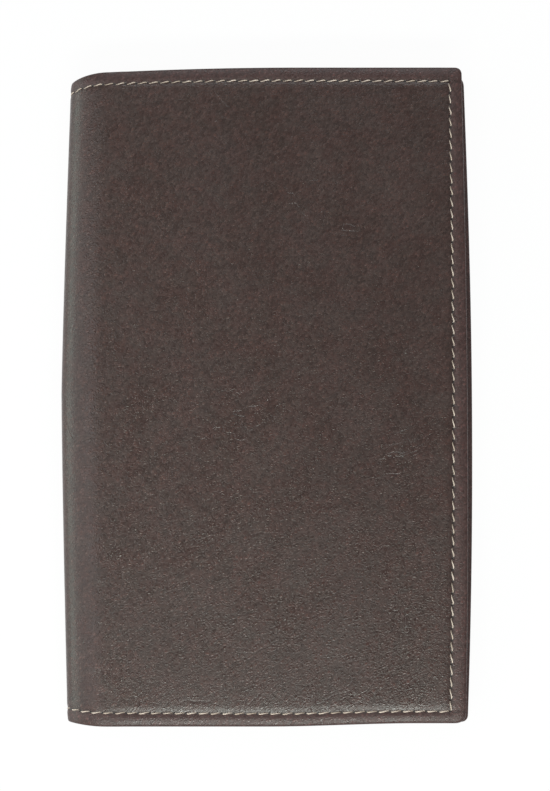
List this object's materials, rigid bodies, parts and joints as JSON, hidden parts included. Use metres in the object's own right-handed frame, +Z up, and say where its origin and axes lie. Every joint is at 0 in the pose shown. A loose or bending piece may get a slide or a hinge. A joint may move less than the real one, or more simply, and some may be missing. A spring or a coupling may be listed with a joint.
{
  "type": "scorecard holder",
  "caption": "Bifold leather golf scorecard holder with turned, stitched edges, an inner pocket in each cover and a pencil loop by the spine. It opens flat from closed.",
  "frame": {"origin": "middle of the back cover's underside, at the centre of the closed holder's outline", "axes": "+Z up through the closed front cover, +Y towards the head of the covers, +X towards the fore edge, with the spine at -X"},
  "size_m": [0.1116, 0.178, 0.0127],
  "materials": {
    "outer_leather": "dark brown grain leather, satin",
    "pocket_leather": "dark brown leather, matt",
    "lining": "plain woven lining, matt",
    "board": "grey stiffener board"
  },
  "bodies": {
    "back_cover": {"back_cover_leather": "outer_leather", "back_board": "board", "back_lining": "lining", "back_pocket": "pocket_leather", "pencil_loop": "pocket_leather"},
    "spine": {"spine_leather": "outer_leather", "spine_lining": "lining"},
    "front_cover": {"front_cover_leather": "outer_leather", "front_board": "board", "front_lining": "lining", "front_pocket": "pocket_leather"}
  },
  "joints": [
    {"name": "back_fold", "type": "hinge", "parent": "back_cover", "child": "spine", "pos_m": [-0.05247, 0, 0.00216], "axis": [0, -1, 0], "range_deg": [0, 90], "deforming": ["spine_leather", "spine_lining"]},
    {"name": "front_fold", "type": "hinge", "parent": "spine", "child": "front_cover", "pos_m": [-0.05247, 0, 0.01054], "axis": [0, -1, 0], "range_deg": [0, 90]}
  ],
  "couplings": [
    {"joint": "front_fold", "follows": "back_fold", "ratio": 1}
  ]
}
